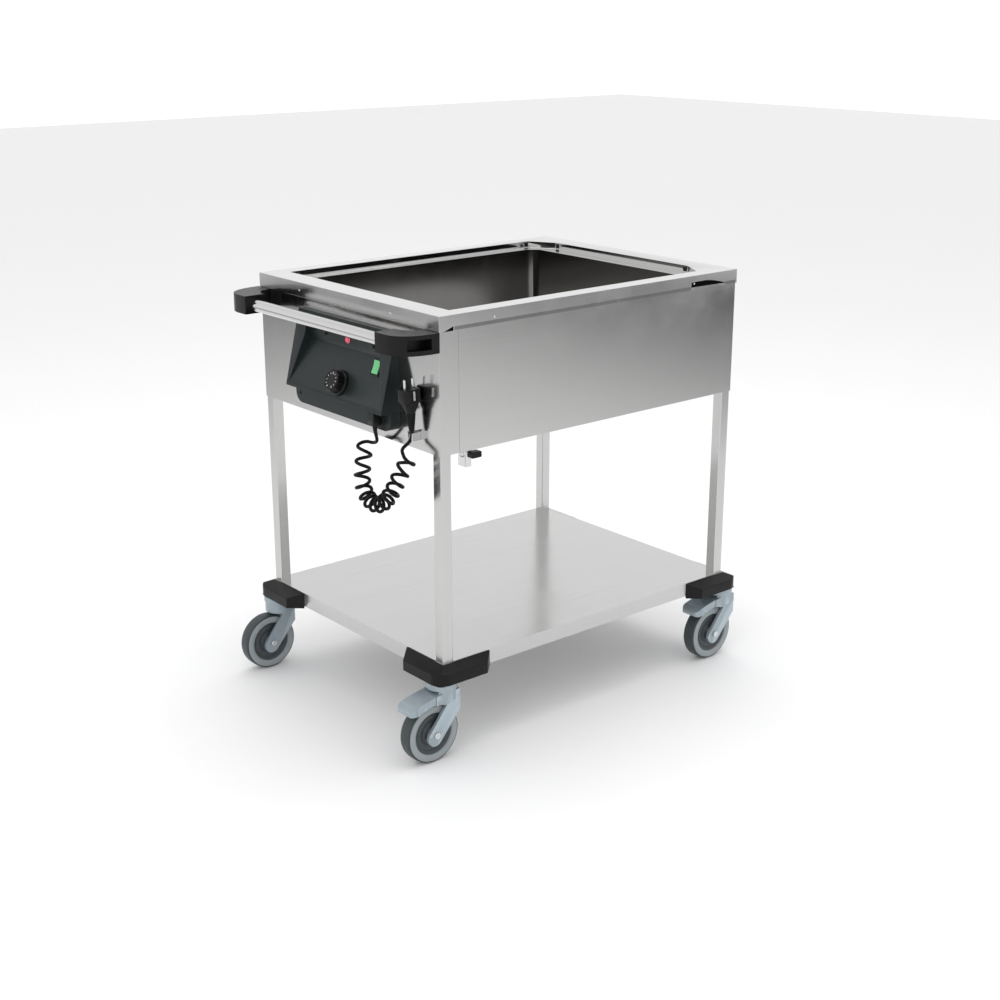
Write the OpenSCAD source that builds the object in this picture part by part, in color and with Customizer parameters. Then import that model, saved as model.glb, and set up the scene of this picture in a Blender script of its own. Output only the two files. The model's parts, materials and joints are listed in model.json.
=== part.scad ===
// Mobile heated steam table: a wet-well trolley on four swivel castors.
// Millimetres, +Z up. Origin under the middle of the outline, on the floor.
// +X points away from the push handle, -Y is the side with the drain valve.

/* [Body] */
// Length of the top frame
top_l = 815; // [790:1:840]
// Width of the top frame
top_w = 625; // [600:1:640]
// Height of the rim above the floor
top_z = 900; // [880:1:920]
// Height of the turned-down skirt of the top frame
skirt_h = 30; // [26:1:34]
// Sheet thickness of the top frame
rim_t = 1.5; // [1:0.1:2]
// Depth of the sunken pan ledge below the rim
ledge_drop = 15; // [12:1:18]
// Height of the casing's lower edge
casing_z = 629.5; // [610:0.5:650]
// Sheet thickness of the casing
sheet = 1.2; // [1:0.1:1.5]

/* [Well] */
// Length of the well opening
well_l = 640; // [620:1:650]
// Width of the well opening
well_w = 510; // [490:1:516]
// Corner radius of the well
well_r = 24; // [20:1:40]
// Inner depth of the well below the pan ledge
well_depth = 205; // [150:1:215]
// Wall thickness of the well
well_t = 1.2; // [1:0.1:1.5]

/* [Frame] */
// Outside size of the square leg tube
leg_w = 25; // [22:0.5:28]
// Wall of the leg tube
leg_t = 1.5; // [1.2:0.1:2]
// Height of the shelf's upper face
shelf_z = 202; // [195:1:215]
// Height of the shelf's turned-down flange
shelf_h = 31; // [28:1:34]

/* [Castors] */
// Wheel diameter
wheel_d = 125; // [122:1:126]
// Wheel width
wheel_w = 32; // [28:1:34]
// Distance of the axle behind the swivel axis
trail = 33; // [30:1:36]
// Swivel axis from the middle, along the length
castor_x = 404; // [402:1:405]
// Swivel axis from the middle, across the width
castor_y = 303; // [301:1:304]

/* [Controls] */
// Diameter of the thermostat knob's skirt
knob_d = 50; // [44:1:54]
// Diameter of the handle tube
grip_d = 25; // [22:0.5:27]
// Cord diameter
cord_d = 6.5; // [6:0.1:7]
// Outside diameter of the spiral part of the cord
spiral_d = 34; // [32:0.5:36]

/* [Hidden] */
$fn = 64;
xo = 34.5;               // shift from the casing's middle to the outline's middle
hx = top_l / 2;          // half length of the top frame
hy = top_w / 2;
deck_z = top_z - ledge_drop;
skirt_z = top_z - skirt_h;
px = hx - 2;             // casing outer face, half length
py = hy - 2;
rx = 354;                // pan recess in the rim, half length
ry = 275;
shx = hx - 1.5;          // shelf outline, half length
shy = hy - 1.5;
flange_z = shelf_z - shelf_h;
plate_t = 6;
plate_z = flange_z - plate_t;      // underside of the castor plates
bump_x = 436;            // bumper outer faces
bump_y = 337.5;
wr = wheel_d / 2;
lx = px - sheet;         // leg outer faces
ly = py - sheet;
// inclined control panel: foot point and tilt from upright
pan_x = -452;
pan_z = 697;
tilt = 24.36;
// control hood limits across the width
hood_y0 = -185;
hood_y1 = 152;
hood_top = 849;
// knob and switch places on the panel: across, and up the slope
knob_y = -28;
knob_s = 32;
sw_y = -127;
sw_s = 83;
// handle
grip_x = -470;
grip_z = 849;
brk_front = -492;
// drain
drn_x = -272;
drn_y = -216;
// cord routes (x, y, z), in the casing's own frame
gland_p = [-441, -147, 664];
lead_pts = [[-441,-147,664],[-441,-146,658],[-441,-142,646],[-441,-135,634],[-441,-127,624],[-441,-119,616],[-441,-112,608]];
coil_pts = [[-441,-112,608],[-446,-113,592],[-451,-116,571],[-457,-123,552],[-462,-135,535],[-465,-153,522],[-467,-174,517],[-465,-193,520],[-462,-208,533],[-456,-218,550],[-450,-226,568],[-442,-231,589],[-434,-233,603]];
tail_pts = [[-434,-233,603],[-431,-239,613],[-429,-243,623],[-428,-245,633],[-427,-246,644],[-425,-245,656],[-423,-244,668]];
plug_p = [-423, -244, 668];

steel = [0.78, 0.79, 0.79];
dark = [0.16, 0.18, 0.18];
grey = [0.55, 0.59, 0.61];

// ---------- helpers ----------
module shift() { translate([xo, 0, 0]) children(); }
// rounded rectangle of half sizes a, b
module rrect(a, b, r) {
  square([2*a, 2*b - 2*r], center = true);
  square([2*a - 2*r, 2*b], center = true);
  for (sx = [-1, 1], sy = [-1, 1]) translate([sx*(a - r), sy*(b - r)]) circle(r);
}
module box(x0, x1, y0, y1, z0, z1) { translate([x0, y0, z0]) cube([x1 - x0, y1 - y0, z1 - z0]); }
module on_panel(y, s) {
  translate([pan_x, 0, pan_z]) rotate([0, -(90 - tilt), 0]) translate([s, y, 0]) children();
}
// a swept tube: one ring of n points round each route point
function unit(v) = v / norm(v);
function tang(p, i) = unit(p[min(i + 1, len(p) - 1)] - p[max(i - 1, 0)]);
function ring(c, t, r, n) = let(u = unit(cross(t, [1, 0, 0])), w = cross(t, u))
  [for (k = [0 : n - 1]) c + r*cos(360*k/n)*u + r*sin(360*k/n)*w];
module tube(p, r, n) {
  m = len(p);
  pts = [for (i = [0 : m - 1]) each ring(p[i], tang(p, i), r, n)];
  sides = [for (i = [0 : m - 2], k = [0 : n - 1]) [i*n + k, i*n + (k + 1)%n, (i + 1)*n + (k + 1)%n, (i + 1)*n + k]];
  polyhedron(pts, concat([[for (k = [n - 1 : -1 : 0]) k]], sides, [[for (k = [0 : n - 1]) (m - 1)*n + k]]), convexity = 6);
}

// ---------- top ----------
// outline of the pan recess, with cut corners at the far end
module recess_outline(g) {
  polygon([[-rx - g, -ry - g], [rx - 34, -ry - g], [rx + g, -ry + 58], [rx + g, ry - 58], [rx - 34, ry + g], [-rx - g, ry + g]]);
}
module top_frame() color(steel) shift() difference() {
  union() {
    // rim and skirt
    difference() {
      box(-hx, hx, -hy, hy, skirt_z, top_z);
      box(-hx + rim_t, hx - rim_t, -hy + rim_t, hy - rim_t, skirt_z - 1, top_z - rim_t);
    }
    // recess wall and pan ledge
    translate([0, 0, deck_z - rim_t]) linear_extrude(ledge_drop) recess_outline(rim_t);
  }
  translate([0, 0, deck_z]) linear_extrude(ledge_drop + 1) recess_outline(0);
  translate([0, 0, deck_z - 5]) linear_extrude(10) rrect(well_l/2 - 1, well_w/2 - 1, well_r + 5);
  window_places() box(-6, 6, -1, rim_t + 1, deck_z + 2, top_z - 3);
  // finger notches in the skirt's lower edge, near the ends of the long sides
  for (s = [-1, 1]) {
    translate([316, s*hy, skirt_z - 33]) rotate([90, 0, 0]) cylinder(r = 51, h = 8, center = true, $fn = 96);
    translate([-384, s*hy, skirt_z]) rotate([90, 0, 0]) linear_extrude(8, center = true)
      polygon([[-13, -1], [11, -1], [11, 8]]);
  }
}
// windows in the recess wall, closed by small black plugs set flush from behind
module window_places() {
  for (s = [0, 1]) mirror([0, s, 0]) {
    translate([-338, ry, 0]) children();
    translate([313, ry, 0]) children();
    translate([rx, ry - 66, 0]) rotate([0, 0, -90]) children();
  }
}
module rim_end_plugs() color(dark) shift() window_places() {
  box(-5.8, 5.8, 0.3, rim_t + 0.1, deck_z + 2.2, top_z - 3.2);
  box(-7, 7, rim_t, rim_t + 1.5, deck_z + 1, top_z - 2);
}
module well_shell(z0, z1, g) {
  translate([0, 0, z0]) linear_extrude(z1 - z0) rrect(well_l/2 - g, well_w/2 - g, well_r - g);
}
module well_basin() color([0.35, 0.36, 0.36]) shift() difference() {
  zb = deck_z - rim_t - well_depth;
  union() {
    well_shell(zb, deck_z - rim_t, 0);
    translate([0, 0, deck_z - rim_t - 1.2]) linear_extrude(1.2) rrect(well_l/2 + 12, well_w/2 + 12, well_r + 12);
  }
  well_shell(zb + well_t, deck_z, well_t);
  translate([drn_x, drn_y, zb - 1]) cylinder(r = 15.05, h = 5);
}
module insulation() color([0.8, 0.75, 0.55]) shift() {
  zb = deck_z - rim_t - well_depth;
  difference() {
    translate([0, 0, zb + 6]) linear_extrude(165) rrect(well_l/2 + 22, well_w/2 + 22, well_r + 22);
    translate([0, 0, zb]) linear_extrude(180) rrect(well_l/2 + 0.3, well_w/2 + 0.3, well_r + 0.3);
  }
}
module rod(p, r) {
  for (i = [0 : len(p) - 2]) let(a = p[i], b = p[i + 1], d = b - a, l = norm(d))
    translate(a) rotate([0, 0, atan2(d[1], d[0])]) rotate([0, 90, 0]) cylinder(r = r, h = l);
  for (q = p) translate(q) sphere(r = r);
}
module heating_element() color([0.4, 0.3, 0.25]) shift() {
  z = deck_z - rim_t - well_depth - 4.6;
  rod([[-305,-80,z],[-230,-80,z],[-230,-180,z],[230,-180,z],[230,-60,z],[-190,-60,z],[-190,60,z],[230,60,z],[230,180,z],[-230,180,z],[-230,30,z],[-305,30,z]], 4.2);
}
module heater_tray() color([0.7, 0.7, 0.68]) shift() {
  zb = deck_z - rim_t - well_depth;
  difference() {
    box(-292, 292, -192, 192, zb - 10.3, zb);
    box(-290.5, 290.5, -190.5, 190.5, zb - 8.8, zb + 1);
    box(-300, -280, -86, -74, zb - 8.8, zb + 1);
    box(-300, -280, 24, 36, zb - 8.8, zb + 1);
  }
}

// ---------- casing ----------
module control_end_panel() color(steel) shift() difference() {
  union() {
    box(-px, -px + sheet, -py, py, casing_z, top_z - rim_t);
    for (s = [0, 1]) mirror([0, s, 0]) box(-px, -px + 46, -py, -py + sheet, casing_z, top_z - rim_t);
    box(-px, -px + 12, -py + 40, py - 40, casing_z, casing_z + sheet);
  }
  // wire way and shaft hole behind the control hood
  box(-px - 1, -px + 5, -70, 30, 700, 780);
}
module front_end_panel() color(steel) shift() {
  box(px - sheet, px, -py + sheet, py - sheet, casing_z, top_z - rim_t);
  box(px - 12, px, -py + 40, py - 40, casing_z, casing_z + sheet);
}
module side_panel() {
  box(-px + 46.3, px, -py, -py + sheet, casing_z, top_z - rim_t);
  box(-px + 60, px - 40, -py, -py + 12, casing_z, casing_z + sheet);
}
module right_side_panel() color(steel) shift() side_panel();
module left_side_panel() color(steel) shift() mirror([0, 1, 0]) side_panel();
module bottom_cover() color(steel) shift() difference() {
  box(-px + 13, px - 13, -py + 13, py - 13, casing_z, casing_z + sheet);
  for (sx = [-1, 1], sy = [-1, 1]) translate([sx*px, sy*py, casing_z + 1]) cube([2*leg_w + 6, 2*leg_w + 6, 8], center = true);
  translate([drn_x, drn_y, casing_z - 1]) cylinder(r = 14, h = 5);
}

// ---------- legs, shelf, bumpers ----------
module leg() difference() {
  box(-lx, -lx + leg_w, -ly, -ly + leg_w, shelf_z - 12, skirt_z - 2);
  box(-lx + leg_t, -lx + leg_w - leg_t, -ly + leg_t, -ly + leg_w - leg_t, shelf_z - 9, skirt_z - 3);
}
module leg_rear_right() color(steel) shift() leg();
module leg_rear_left() color(steel) shift() mirror([0, 1, 0]) leg();
module leg_front_right() color(steel) shift() mirror([1, 0, 0]) leg();
module leg_front_left() color(steel) shift() mirror([1, 0, 0]) mirror([0, 1, 0]) leg();

module lower_shelf() color(steel) shift() difference() {
  box(-shx, shx, -shy, shy, flange_z, shelf_z);
  box(-shx + 1.5, shx - 1.5, -shy + 1.5, shy - 1.5, flange_z - 1, shelf_z - 1.5);
  // the legs stand in cut corners of the top sheet
  each_corner() box(-shx - 1, -lx + leg_w, -shy - 1, -ly + leg_w, shelf_z - 1.6, shelf_z + 1);
}
module castor_plate() difference() {
  translate([-castor_x + 26, -castor_y + 20, plate_z]) linear_extrude(plate_t) rrect(52, 48.5, 10);
  translate([-castor_x, -castor_y, plate_z - 1]) cylinder(r = 12.03, h = plate_t + 2);
}
module each_corner() for (sx = [0, 1], sy = [0, 1]) mirror([sx, 0, 0]) mirror([0, sy, 0]) children();
module castor_plates() color([0.6, 0.6, 0.6]) shift() each_corner() castor_plate();

// L-shaped corner bumper with a sloping upper face and bevelled ends
module bumper() difference() {
  intersection() {
    // plan
    translate([0, 0, plate_z]) linear_extrude(shelf_z - plate_z + 2) difference() {
      union() {
        polygon([[-bump_x, -bump_y + 30], [-bump_x + 30, -bump_y], [-313, -bump_y], [-286, -shy], [-shx, -shy], [-shx, -190], [-bump_x, -217]]);
        translate([-bump_x + 30, -bump_y + 30]) circle(30);
      }
      translate([0, 0]) square([2*shx, 2*shy], center = true);
    }
    // section: lower band upright, upper face sloping up to the shelf
    union() {
      box(-bump_x - 1, -200, -bump_y - 1, -180, plate_z - 1, 188);
      intersection() {
        translate([0, -400, 0]) rotate([-90, 0, 0]) linear_extrude(400) polygon([[-bump_x - 0.1, -188], [-shx, -shelf_z + 1], [-200, -shelf_z + 1], [-200, -187], [-bump_x - 0.1, -187]]);
        translate([-200, 0, 0]) rotate([90, 0, -90]) linear_extrude(300) polygon([[bump_y + 0.1, 188], [shy, shelf_z - 1], [100, shelf_z - 1], [100, 187], [bump_y + 0.1, 187]]);
      }
    }
  }
  translate([-castor_x + 26, -castor_y + 20, plate_z - 1]) linear_extrude(plate_t + 1) rrect(52.2, 48.7, 10.2);
}
module bumper_rear_right() color(dark) shift() bumper();
module bumper_rear_left() color(dark) shift() mirror([0, 1, 0]) bumper();
module bumper_front_right() color(dark) shift() mirror([1, 0, 0]) bumper();
module bumper_front_left() color(dark) shift() mirror([1, 0, 0]) mirror([0, 1, 0]) bumper();

// ---------- castors ----------
head_z = plate_z - 13;
fork_top = head_z - 0.4;
crown_z = 129;
module castor_head() {
  translate([-castor_x, -castor_y, head_z]) cylinder(r = 32, h = plate_z - head_z);
  translate([-castor_x, -castor_y, plate_z - 1]) cylinder(r = 12, h = plate_t + 0.8);
  translate([-castor_x, -castor_y, crown_z + 3]) cylinder(r = 6, h = head_z - crown_z - 2);
}
module castor_heads() color([0.75, 0.77, 0.78]) shift() {
  castor_head();
  mirror([0, 1, 0]) castor_head();
  translate([2*castor_x, 0, 0]) { castor_head(); mirror([0, 1, 0]) castor_head(); }
}
// everything below is drawn about the swivel axis; the wheel trails towards -X
module arm2d(ext) {
  translate([-trail - 4, wr - 5]) circle(17);
  polygon([[-trail - 16, wr + 7], [-trail + 8.5, wr - 17], [26, crown_z - 24], [26, crown_z + 20], [-9, crown_z + 20], [-8, crown_z - 8]]);
  if (ext) difference() {
    polygon([[-4, crown_z + 20], [-20, crown_z + 18], [-32.6, crown_z + 16.6], [-32.6, crown_z - 16], [-20, crown_z - 30], [0, crown_z - 20]]);
    translate([-trail, wr]) circle(wr + 2);
  }
}
module fork(brake) difference() {
  union() {
    // crown disc
    translate([0, 0, crown_z]) cylinder(r = 30, h = fork_top - crown_z);
    translate([0, 0, crown_z]) linear_extrude(8) polygon([[-10, -26], [27, -26], [27, 26], [-10, 26]]);
    for (s = [-1, 1]) translate([0, s*22.5, 0]) rotate([90, 0, 0]) linear_extrude(7, center = true) arm2d(brake);
  }
  // king pin bore, axle bore, wheel room
  translate([0, 0, crown_z - 5]) cylinder(r = 6.05, h = 40);
  translate([-trail, 0, wr]) rotate([90, 0, 0]) cylinder(r = 4.03, h = 80, center = true);
  translate([-trail, 0, wr]) rotate([90, 0, 0]) cylinder(r = wr + 2.5, h = 37.6, center = true);
  if (brake) {
    translate([-27, 0, crown_z + 3.5]) rotate([90, 0, 0]) cylinder(r = 3.05, h = 80, center = true);
    // pocket for the pedal's root
    box(-60, -14, -19.2, 19.2, crown_z - 8, fork_top + 5);
  }
}
module axle() translate([-trail, 0, wr]) rotate([90, 0, 0]) {
  cylinder(r = 4, h = 51.6, center = true);
  for (s = [-1, 1]) translate([0, 0, s*28]) cylinder(r = 7, h = 3.6, center = true);
}
module wheel() translate([-trail, 0, wr]) rotate([90, 0, 0]) {
  difference() {
    rotate_extrude($fn = 96) polygon([[4.05, -17.5], [14, -17.5], [14, -12], [44, -11], [47, -15.5], [wr - 4, -15.8], [wr - 1.2, -13], [wr, -7], [wr, 7], [wr - 1.2, 13], [wr - 4, 15.8], [47, 15.5], [44, 11], [14, 12], [14, 17.5], [4.05, 17.5]]);
  }
}
module pedal() {
  // root between the cheeks of the fork, then a wide flat-topped hood
  difference() {
    union() {
      rotate([90, 0, 0]) linear_extrude(37.6, center = true)
        polygon([[-18, crown_z + 0.5], [-18, crown_z + 17], [-34.5, crown_z + 16.4], [-34.5, crown_z - 4]]);
      intersection() {
        rotate([90, 0, 0]) linear_extrude(50, center = true)
          polygon([[-34, crown_z + 16.5], [-60, crown_z + 11.5], [-80, crown_z + 6.5], [-94, crown_z], [-97, crown_z - 5], [-94, crown_z - 11.5], [-69, crown_z - 12], [-34, crown_z - 8]]);
        translate([0, 0, 100]) linear_extrude(60) union() {
          translate([-80, -25]) square([60, 50]);
          translate([-97, -15]) square([30, 30]);
          for (s = [-1, 1]) translate([-84, s*12]) circle(13);
        }
      }
      translate([-27, 0, crown_z + 3.5]) rotate([90, 0, 0]) cylinder(r = 3, h = 51.8, center = true);
    }
    // room for the tyre, at rest and with the pedal pressed
    translate([-trail, 0, wr]) rotate([90, 0, 0]) cylinder(r = wr + 3.2, h = 60, center = true);
    translate([-27, 0, crown_z + 3.5]) rotate([0, 6, 0]) translate([27 - trail, 0, wr - crown_z - 3.5]) rotate([90, 0, 0]) cylinder(r = wr + 0.8, h = 60, center = true);
  }
}
module at_castor(sx, sy) { translate([xo + sx*castor_x, sy*castor_y, 0]) children(); }
module fork_rear_right() color(grey) at_castor(-1, -1) fork(true);
module fork_rear_left() color(grey) at_castor(-1, 1) fork(false);
module fork_front_right() color(grey) at_castor(1, -1) fork(true);
module fork_front_left() color(grey) at_castor(1, 1) fork(false);
module axle_rear_right() color(steel) at_castor(-1, -1) axle();
module axle_rear_left() color(steel) at_castor(-1, 1) axle();
module axle_front_right() color(steel) at_castor(1, -1) axle();
module axle_front_left() color(steel) at_castor(1, 1) axle();
module wheel_rear_right() color([0.25, 0.28, 0.28]) at_castor(-1, -1) wheel();
module wheel_rear_left() color([0.25, 0.28, 0.28]) at_castor(-1, 1) wheel();
module wheel_front_right() color([0.25, 0.28, 0.28]) at_castor(1, -1) wheel();
module wheel_front_left() color([0.25, 0.28, 0.28]) at_castor(1, 1) wheel();
module brake_pedal_rear_right() color(grey) at_castor(-1, -1) pedal();
module brake_pedal_front_right() color(grey) at_castor(1, -1) pedal();

// ---------- handle ----------
module handle_tube() color(steel) shift() translate([grip_x, 4, grip_z]) rotate([90, 0, 0]) difference() {
  cylinder(r = grip_d/2, h = 2*242, center = true);
  cylinder(r = grip_d/2 - 1.5, h = 490, center = true);
}
// right-hand bracket: a hollow corner block curving from the casing to the tube
module bracket() difference() {
  translate([0, 0, skirt_z - 39]) linear_extrude(38.4) union() {
    polygon([[brk_front, -226], [brk_front, -262], [-488, -278], [-478, -292], [-462, -303], [-444, -309], [-424, -312], [-px - 0.3, -312.4], [-px - 0.3, -226]]);
  }
  // relief on the inner side for the fingers
  translate([0, 0, skirt_z - 40]) linear_extrude(45) polygon([[-446, -225], [-446, -240], [-430, -262], [-px + 1, -268], [-px + 1, -225]]);
  // moulded pocket in the outer side
  box(-470, -424, -330, -288, skirt_z - 30, skirt_z - 9);
  // tube socket
  translate([grip_x, -224, grip_z]) rotate([90, 0, 0]) cylinder(r = grip_d/2 + 0.02, h = 14.02);
}
module handle_bracket_right() color(dark) shift() bracket();
module handle_bracket_left() color(dark) shift() translate([0, 8, 0]) mirror([0, 1, 0]) bracket();

// ---------- control box ----------
hood_prof = [[-px - 0.2, hood_top], [-414, hood_top], [-451.5, 697], [-452, 692], [-px - 0.2, 692]];
module hood_body(y0, y1, g) {
  translate([0, y1, 0]) rotate([90, 0, 0]) linear_extrude(y1 - y0) offset_prof(g);
}
module offset_prof(g) polygon(g == 0 ? hood_prof : [[-px + 1, hood_top - g], [-414 + g, hood_top - g], [-451 + 1.6*g, 697 + g], [-px + 1, 692 + g]]);
module control_hood() color(dark) shift() difference() {
  hood_body(hood_y0, hood_y1, 0);
  // front recess: bounded by the panel plane and the slanting inner sides of the cheeks
  intersection() {
    on_panel(0, 0) translate([0, (hood_y0 + hood_y1)/2, 0]) linear_extrude(60)
      polygon([[0.5, -161], [104.3, -132], [104.3, 132], [0.5, 161]]);
    box(-500, -px - 3.2, hood_y0 + 8, hood_y1 - 8, 690, 860);
  }
  // flat band above the panel
  box(-500, -px - 3.2, hood_y0 + 37, hood_y1 - 37, 791.2, 830);
  // inside
  difference() {
    hood_body(hood_y0 + 3, hood_y1 - 3, 3);
    on_panel(0, 0) translate([-20, -200, -3]) cube([160, 400, 80]);
    box(-500, -px - 0.5, -200, 200, 788, 860);
    box(-500, -px + 10, hood_y0 - 1, hood_y0 + 34, 680, 860);
    box(-500, -px + 10, hood_y1 - 34, hood_y1 + 1, 680, 860);
  }
  // holes for the switch, the knob's shaft and the lamp
  on_panel(sw_y, sw_s) translate([0, 0, -10]) linear_extrude(30) square([30.4, 22.4], center = true);
  on_panel(knob_y, knob_s) translate([0, 0, -10]) cylinder(r = 5.5, h = 30);
  translate([-px - 5, -17, 808.5]) rotate([0, 90, 0]) cylinder(r = 6.02, h = 30, center = true);
}
module control_base() color(dark) shift() difference() {
  translate([-430, 0, 0]) rotate([90, 0, 90]) linear_extrude(430 - px - 0.2)
    intersection() {
      union() {
        translate([hood_y0, 676]) square([335, 15.8]);
        translate([hood_y0 + 22, 654]) square([335 - 44, 30]);
        translate([hood_y0 + 22, 676]) circle(22);
        translate([hood_y0 + 335 - 22, 676]) circle(22);
      }
      translate([hood_y0, 650]) square([335, 41.8]);
    }
  box(-427, -px + 2, hood_y0 + 26, hood_y0 + 335 - 26, 658, 688.8);
}
module switch_body() color([0.06, 0.06, 0.06]) shift() on_panel(sw_y, sw_s) difference() {
  union() {
    translate([0, 0, -2.8]) linear_extrude(2.9) square([30, 22], center = true);
    translate([0, 0, 0.05]) linear_extrude(2.2) square([34, 27], center = true);
  }
  translate([0, 0, -2.2]) linear_extrude(6) square([28, 20], center = true);
  rotate([90, 0, 0]) cylinder(r = 1.25, h = 21.4, center = true);
}
module switch_rocker() color([0.35, 0.8, 0.45]) shift() on_panel(sw_y, sw_s) {
  // gently hollowed rocker, one end raised, on a small pivot
  rotate([90, 0, 0]) linear_extrude(19, center = true) polygon([[-13.3, 1.2], [-3, 1.2], [-3, -1.6], [3, -1.6], [3, 1.2], [13.3, 1.2], [13.3, 5.0], [6, 3.2], [-3, 2.6], [-13.3, 2.8]]);
  rotate([90, 0, 0]) cylinder(r = 1.2, h = 21.2, center = true);
}
module pilot_lamp() color([0.85, 0.15, 0.25]) shift() translate([-px - 3.2, -17, 808.5]) rotate([0, -90, 0]) {
  translate([0, 0, -2.6]) cylinder(r = 6, h = 3);
  translate([0, 0, 0]) cylinder(r = 7.5, h = 1.6);
  translate([0, 0, 1.6]) cylinder(r1 = 6, r2 = 4.4, h = 3);
}
module thermostat_knob() color([0.07, 0.07, 0.07]) shift() on_panel(knob_y, knob_s) difference() {
  union() {
    translate([0, 0, 1.2]) cylinder(r1 = knob_d/2, r2 = knob_d/2 - 1, h = 8);
    translate([0, 0, 9.2]) cylinder(r = 21, h = 15, $fn = 10);
  }
  translate([0, 0, 0]) cylinder(r = 3.0, h = 16);
}
module knob_shaft() color([0.6, 0.6, 0.6]) shift() on_panel(knob_y, knob_s) translate([0, 0, -18]) cylinder(r = 2.99, h = 33.8);
module thermostat() color([0.5, 0.5, 0.48]) shift() {
  on_panel(knob_y, knob_s) difference() {
    translate([0, 0, -24]) cylinder(r = 16, h = 20.5);
    translate([0, 0, -19]) cylinder(r = 3.05, h = 30);
  }
}
module safety_thermostat() color([0.55, 0.52, 0.5]) shift() {
  translate([-388, 96, 730]) cylinder(r = 13, h = 30);
  translate([-388, 96, 760]) cylinder(r = 4, h = 6);
}
module terminal_block() color([0.85, 0.85, 0.8]) shift() difference() {
  box(-400, -380, -120, -84, 690, 716);
  for (k = [0 : 2]) translate([-390, -112 + 10*k, 690]) cylinder(r = 2.2, h = 60, center = true);
}
module fasteners() color([0.3, 0.3, 0.3]) shift() {
  // hood screws
  for (y = [61, -105]) translate([-px - 3.2, y, 808.5]) rotate([0, -90, 0]) cylinder(r = 3.6, h = 2);
  translate([-430, 134, 674]) rotate([0, -90, 0]) cylinder(r = 3.2, h = 1.2);
  translate([-430, -168, 674]) rotate([0, -90, 0]) cylinder(r = 3.2, h = 1.2);
  // skirt rivets
  for (y = [158, -160]) translate([-hx, y, 883]) rotate([0, -90, 0]) cylinder(r = 2.2, h = 1);
  for (y = [158, -160]) translate([hx, y, 883]) rotate([0, 90, 0]) cylinder(r = 2.2, h = 1);
  for (x = [-274, 274], s = [0, 1]) mirror([0, s, 0]) translate([x, -hy, 883]) rotate([90, 0, 0]) cylinder(r = 2.2, h = 1);
  // clip screw
  translate([-px - 2, -239 + 19, 658]) rotate([0, -90, 0]) cylinder(r = 4, h = 3);
}

// ---------- cord, plug, clip ----------
module cord_gland() color([0.05, 0.05, 0.05]) shift() translate([gland_p[0], gland_p[1], gland_p[2]]) difference() {
  union() {
    cylinder(r = 10.5, h = 27.8);
    translate([0, 0, 6]) cylinder(r = 11, h = 12, $fn = 8);
  }
}
module power_cord_ends() color([0.04, 0.04, 0.04]) shift() { tube(lead_pts, cord_d/2, 10); tube(tail_pts, cord_d/2, 10); }
module power_cord_spiral() color([0.04, 0.04, 0.04]) shift() tube(coil_pts, spiral_d/2, 12);
module plug_body() color([0.05, 0.05, 0.05]) shift() translate(plug_p) rotate([0, -3.5, 0]) {
  rotate_extrude() polygon([[0, 0], [5, 0], [6.5, 8], [7.5, 22], [9, 34], [9, 36], [0, 36]]);
  translate([0, 0, 33]) intersection() {
    linear_extrude(53) rrect(19.5, 16, 8);
    rotate([90, 0, 0]) linear_extrude(60, center = true) polygon([[-9, 0], [9, 0], [14, 18], [19.5, 36], [19.5, 53], [-19.5, 53], [-19.5, 36], [-14, 18]]);
  }
}
module plug_pins() color(steel) shift() translate(plug_p) rotate([0, -3.5, 0]) for (s = [-1, 1]) translate([s*9.5, 0, 86.02]) {
  cylinder(r = 2.4, h = 17);
  translate([0, 0, 17]) sphere(r = 2.4);
}
module plug_clip() color(steel) shift() difference() {
  union() {
    box(-px - 2, -px, -248, -213, 650, 666);
    box(-425, -px - 2, -248, -245, 650, 666);
    box(-425, -px - 2, -233, -230, 650, 666);
  }
}

// ---------- drain ----------
module drain_pipe() color(steel) shift() {
  zb = deck_z - rim_t - well_depth;
  translate([drn_x, drn_y, 622]) difference() {
    union() {
      cylinder(r = 11, h = zb - 622);
      translate([0, 0, zb - 622 - 2]) cylinder(r = 15, h = 2 + well_t);
    }
    translate([0, 0, -1]) cylinder(r = 8, h = 100);
  }
}
module drain_valve_body() color(steel) shift() difference() {
  union() {
    translate([drn_x, drn_y, 566]) linear_extrude(38) rrect(8, 13, 2.5);
    translate([drn_x, drn_y, 596]) sphere(r = 14);
    translate([drn_x, drn_y, 600]) cylinder(r = 12, h = 22);
    translate([drn_x, drn_y - 8, 596]) rotate([90, 0, 0]) cylinder(r = 6.5, h = 9);
  }
  translate([drn_x, drn_y, 560]) cylinder(r = 6, h = 70);
  translate([drn_x, drn_y, 596]) sphere(r = 9.1);
  translate([drn_x, drn_y, 596]) rotate([90, 0, 0]) cylinder(r = 3.05, h = 30);
}
module drain_valve_ball() color([0.8, 0.8, 0.82]) shift() translate([drn_x, drn_y, 596]) rotate([0, 90, 0]) rotate_extrude() difference() {
  circle(r = 9);
  translate([-20, -20]) square([26, 40]);
}
module drain_lever() color(dark) shift() translate([drn_x, drn_y, 596]) {
  // stem, then a short T-shaped grip
  translate([0, -8.6, 0]) rotate([90, 0, 0]) cylinder(r = 3, h = 16);
  translate([0, -17.4, 0]) rotate([90, 0, 0]) cylinder(r = 5.5, h = 6);
  translate([1, -22.5, 0]) rotate([90, 0, 0]) linear_extrude(15) rrect(12.5, 6.2, 2.5);
}

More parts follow.
